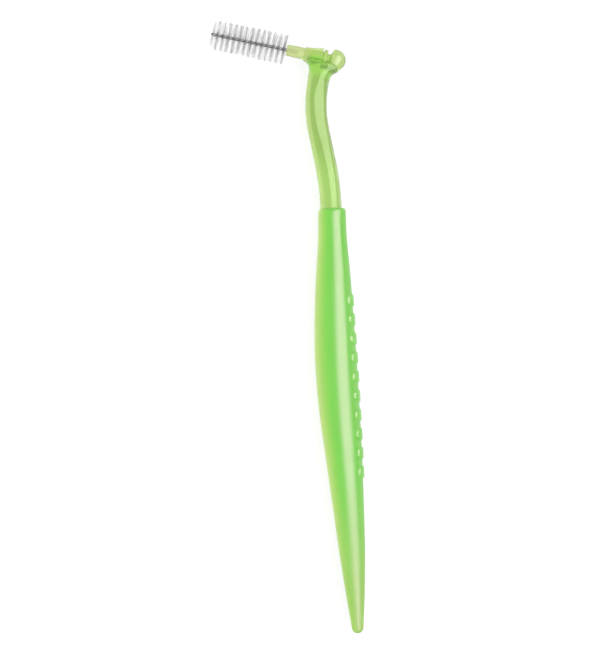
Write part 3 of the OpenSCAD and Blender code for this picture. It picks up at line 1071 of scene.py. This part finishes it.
# The grip scatters light. Its left flank is painted paler, a painted light on that side. It is painted paler
# towards its thin tip, standing in for light through the thin plastic, and it is duller there.
grip_plastic = moulded_plastic("grip_plastic", GRIP_GREENS, (
    facing(-grip_side, *FLANK_LIGHT_FACING, FLANK_PAINTED_LIGHT),
    ("Object", "DOT_PRODUCT", in_space(page_down), *TIP_LIGHT_AT, TIP_PAINTED_LIGHT),
), GRIP_ROUGH, [(in_space(page_down), *TIP_DULL_AT, TIP_DULL_RISE)],
    IOR=GRIP_IOR, Specular_IOR_Level=1.0, Specular_Tint=GRIP_GLOSS_TINT,
    Subsurface_Weight=1.0, Subsurface_Radius=(1, 1, 1), Subsurface_Scale=MM)

# The neck is lighter near the grip, and both flanks are painted paler, a painted light at its edges. Its head
# is painted deep green where the ring, cradle and neck run together, a painted shade where the layers
# overlap, and pale at the top and at the ring's front.
neck_plastic = with_absorption(moulded_plastic("neck_plastic", NECK_GREENS, (
    beyond(page_down, *FOOT_AT, FOOT_GREEN),
    facing(-grip_side, *LEFT_LIGHT_FACING, LEFT_PAINTED_LIGHT),
    facing(grip_side, *RIGHT_LIGHT_FACING, RIGHT_PAINTED_LIGHT),
    close_to(HEAD_MID, *HEAD_SHADE_AROUND, HEAD_PAINTED_SHADE),
    close_to(ROOT_MID, *ROOT_SHADE_AROUND, ROOT_PAINTED_SHADE),
    beyond(up_dir, *TOP_AT, TOP_GREEN),
    beyond(-along_dir, *FRONT_AT, FRONT_GREEN),
), NECK_ROUGH, IOR=CLEAR_IOR, Specular_Tint=NECK_GLOSS_TINT, Transmission_Weight=NECK_CLEARNESS),
    NECK_THROUGH, NECK_DENSITY)

# The refill is greener at the collar and waist than at the shank. Its rims and the knob's end are painted
# greyer, a painted shade at its edges.
refill_plastic = with_absorption(moulded_plastic("refill_plastic", REFILL_GREENS, (
    beyond(along_dir, *COLLAR_AT, COLLAR_GREEN),
    beyond(along_dir, *KNOB_AT, KNOB_GREEN),
    facing(up_dir, *RIM_SHADE_FACING, RIM_PAINTED_SHADE),
    facing(-up_dir, *RIM_SHADE_FACING, RIM_PAINTED_SHADE),
    facing(along_dir, *KNOB_END_SHADE_FACING, KNOB_END_PAINTED_SHADE),
), REFILL_ROUGH, IOR=CLEAR_IOR, Transmission_Weight=REFILL_CLEARNESS), REFILL_THROUGH, REFILL_DENSITY)

wire_steel = speckled("wire_steel", STEEL_GREYS, STEEL_NOISE, STEEL_ROUGH, Metallic=1.0)
bristle_nylon = speckled("bristle_nylon", NYLON_GREYS, NYLON_NOISE, NYLON_ROUGH,
                         IOR=NYLON_IOR, Transmission_Weight=NYLON_CLEARNESS)

# Pieces
make_piece("grip_body", *grip_mesh(), "holder", "grip_plastic", "grip", grip_plastic)
make_piece("neck_and_ring", *neck_mesh(), "holder", "neck_plastic", "neck", neck_plastic)
make_piece("refill_moulding", *shank_mesh(), "refill", "refill_plastic", "refill_shank", refill_plastic)
make_piece("wire", *wire_mesh(), "refill", "wire_steel", "twisted_wire", wire_steel)
make_piece("filaments", *bristle_mesh(), "refill", "bristle_nylon", "bristles", bristle_nylon)


# Floor, world, lamps and camera
def diffuse(material, level):
    """The output of a new matt shader in a neutral grey."""
    shader = new_node(material, "ShaderNodeBsdfDiffuse")
    shader.inputs["Color"].default_value = (level, level, level, 1)
    return shader.outputs[0]


def make_floor():
    """A white floor that keeps the object's shadow, and lights the object as a plain pale one would."""
    mesh = bpy.data.meshes.new("floor")
    corners = [(FLOOR_HALF * x, FLOOR_HALF * y, 0) for x, y in ((-1, -1), (1, -1), (1, 1), (-1, 1))]
    mesh.from_pydata(corners, [], [(0, 1, 2, 3)])
    floor = bpy.data.objects.new("floor", mesh)
    bpy.context.scene.collection.objects.link(floor)
    material = bpy.data.materials.new("white_floor")
    material.use_nodes = True
    nodes = material.node_tree.nodes
    nodes.remove(nodes["Principled BSDF"])
    glow = new_node(material, "ShaderNodeEmission")
    place = new_node(material, "ShaderNodeTexCoord")
    away = measured(material, "DISTANCE", place.outputs["Object"], (0, 0, 0))
    link(material, stepped(material, away, *GLOW_FROM_TO, *FLOOR_GLOW), glow.inputs["Strength"])
    both = new_node(material, "ShaderNodeAddShader")
    link(material, diffuse(material, FLOOR_DIM), both.inputs[0])
    link(material, glow.outputs[0], both.inputs[1])
    plain = diffuse(material, FLOOR_PLAIN)
    pick = shader_mix(material, ray_is(material, *WHITE_TO), plain, both.outputs[0])
    link(material, pick, nodes["Material Output"].inputs["Surface"])
    mesh.materials.append(material)


def make_world():
    """A soft white dome, dimmer towards the horizon, and plain white to the camera."""
    world = bpy.data.worlds.new("studio")
    bpy.context.scene.world = world
    world.use_nodes = True
    nodes = world.node_tree.nodes
    dome = nodes["Background"]
    dome.inputs["Color"].default_value = (1, 1, 1, 1)
    place = new_node(world, "ShaderNodeTexCoord")
    parts = new_node(world, "ShaderNodeSeparateXYZ")
    link(world, place.outputs["Generated"], parts.inputs[0])
    link(world, stepped(world, parts.outputs["Z"], *DOME_FROM_TO, *DOME_GLOW), dome.inputs["Strength"])
    white = new_node(world, "ShaderNodeBackground")
    white.inputs["Strength"].default_value = 1.0
    white.inputs["Color"].default_value = (1, 1, 1, 1)
    pick = shader_mix(world, ray_is(world, "Is Camera Ray"), dome.outputs[0], white.outputs[0])
    link(world, pick, nodes["World Output"].inputs["Surface"])


def make_softbox(name, place, size, power, in_gloss=True, on_body=True, skew=0.0):
    """A long soft lamp at a place, in metres, that faces the object and is turned in its own plane by skew,
    in degrees. It shows in gloss, lights the body, or both."""
    data = bpy.data.lights.new(name, "AREA")
    data.shape = "RECTANGLE"
    data.size, data.size_y = size
    data.energy = power
    lamp = bpy.data.objects.new(name, data)
    bpy.context.scene.collection.objects.link(lamp)
    place = np.array(place, float)
    back = place / np.linalg.norm(place)
    side = np.cross([0.0, 1.0, 0.0], back)
    side /= np.linalg.norm(side)
    tall = np.cross(back, side)
    lean = math.radians(skew)
    turn = np.eye(4)
    turn[:3, 0] = side * math.cos(lean) - tall * math.sin(lean)
    turn[:3, 1] = side * math.sin(lean) + tall * math.cos(lean)
    turn[:3, 2] = back
    turn[:3, 3] = place
    lamp.matrix_world = Matrix(turn.tolist())
    lamp.visible_camera = False
    lamp.visible_glossy = in_gloss
    lamp.visible_diffuse = on_body
    lamp.visible_transmission = on_body


def make_camera():
    """Looks straight down on the photograph's middle, at its scale in the plane of the neck's bends. The
    sensor's width spans the photograph's longer side, which is its height."""
    data = bpy.data.cameras.new("camera")
    data.sensor_width = CAMERA_SENSOR
    data.lens = CAMERA_SENSOR * CAMERA_AWAY / (PHOTO_H * MM_PER_PX)
    data.clip_start = CAMERA_CLIP * MM
    camera = bpy.data.objects.new("camera", data)
    bpy.context.scene.collection.objects.link(camera)
    camera.location = (
        (HEAD[0] + (PHOTO_W / 2 - HEAD_PX[0]) * MM_PER_PX) * MM,
        (HEAD[1] - (PHOTO_H / 2 - HEAD_PX[1]) * MM_PER_PX) * MM,
        (HEAD[2] + CAMERA_AWAY) * MM,
    )
    bpy.context.scene.camera = camera


make_floor()
make_world()
make_softbox("strip", **STRIP)
make_softbox("fill", **FILL)
make_softbox("left", **LEFT)
make_camera()
bpy.context.scene.view_settings.view_transform = "Standard"
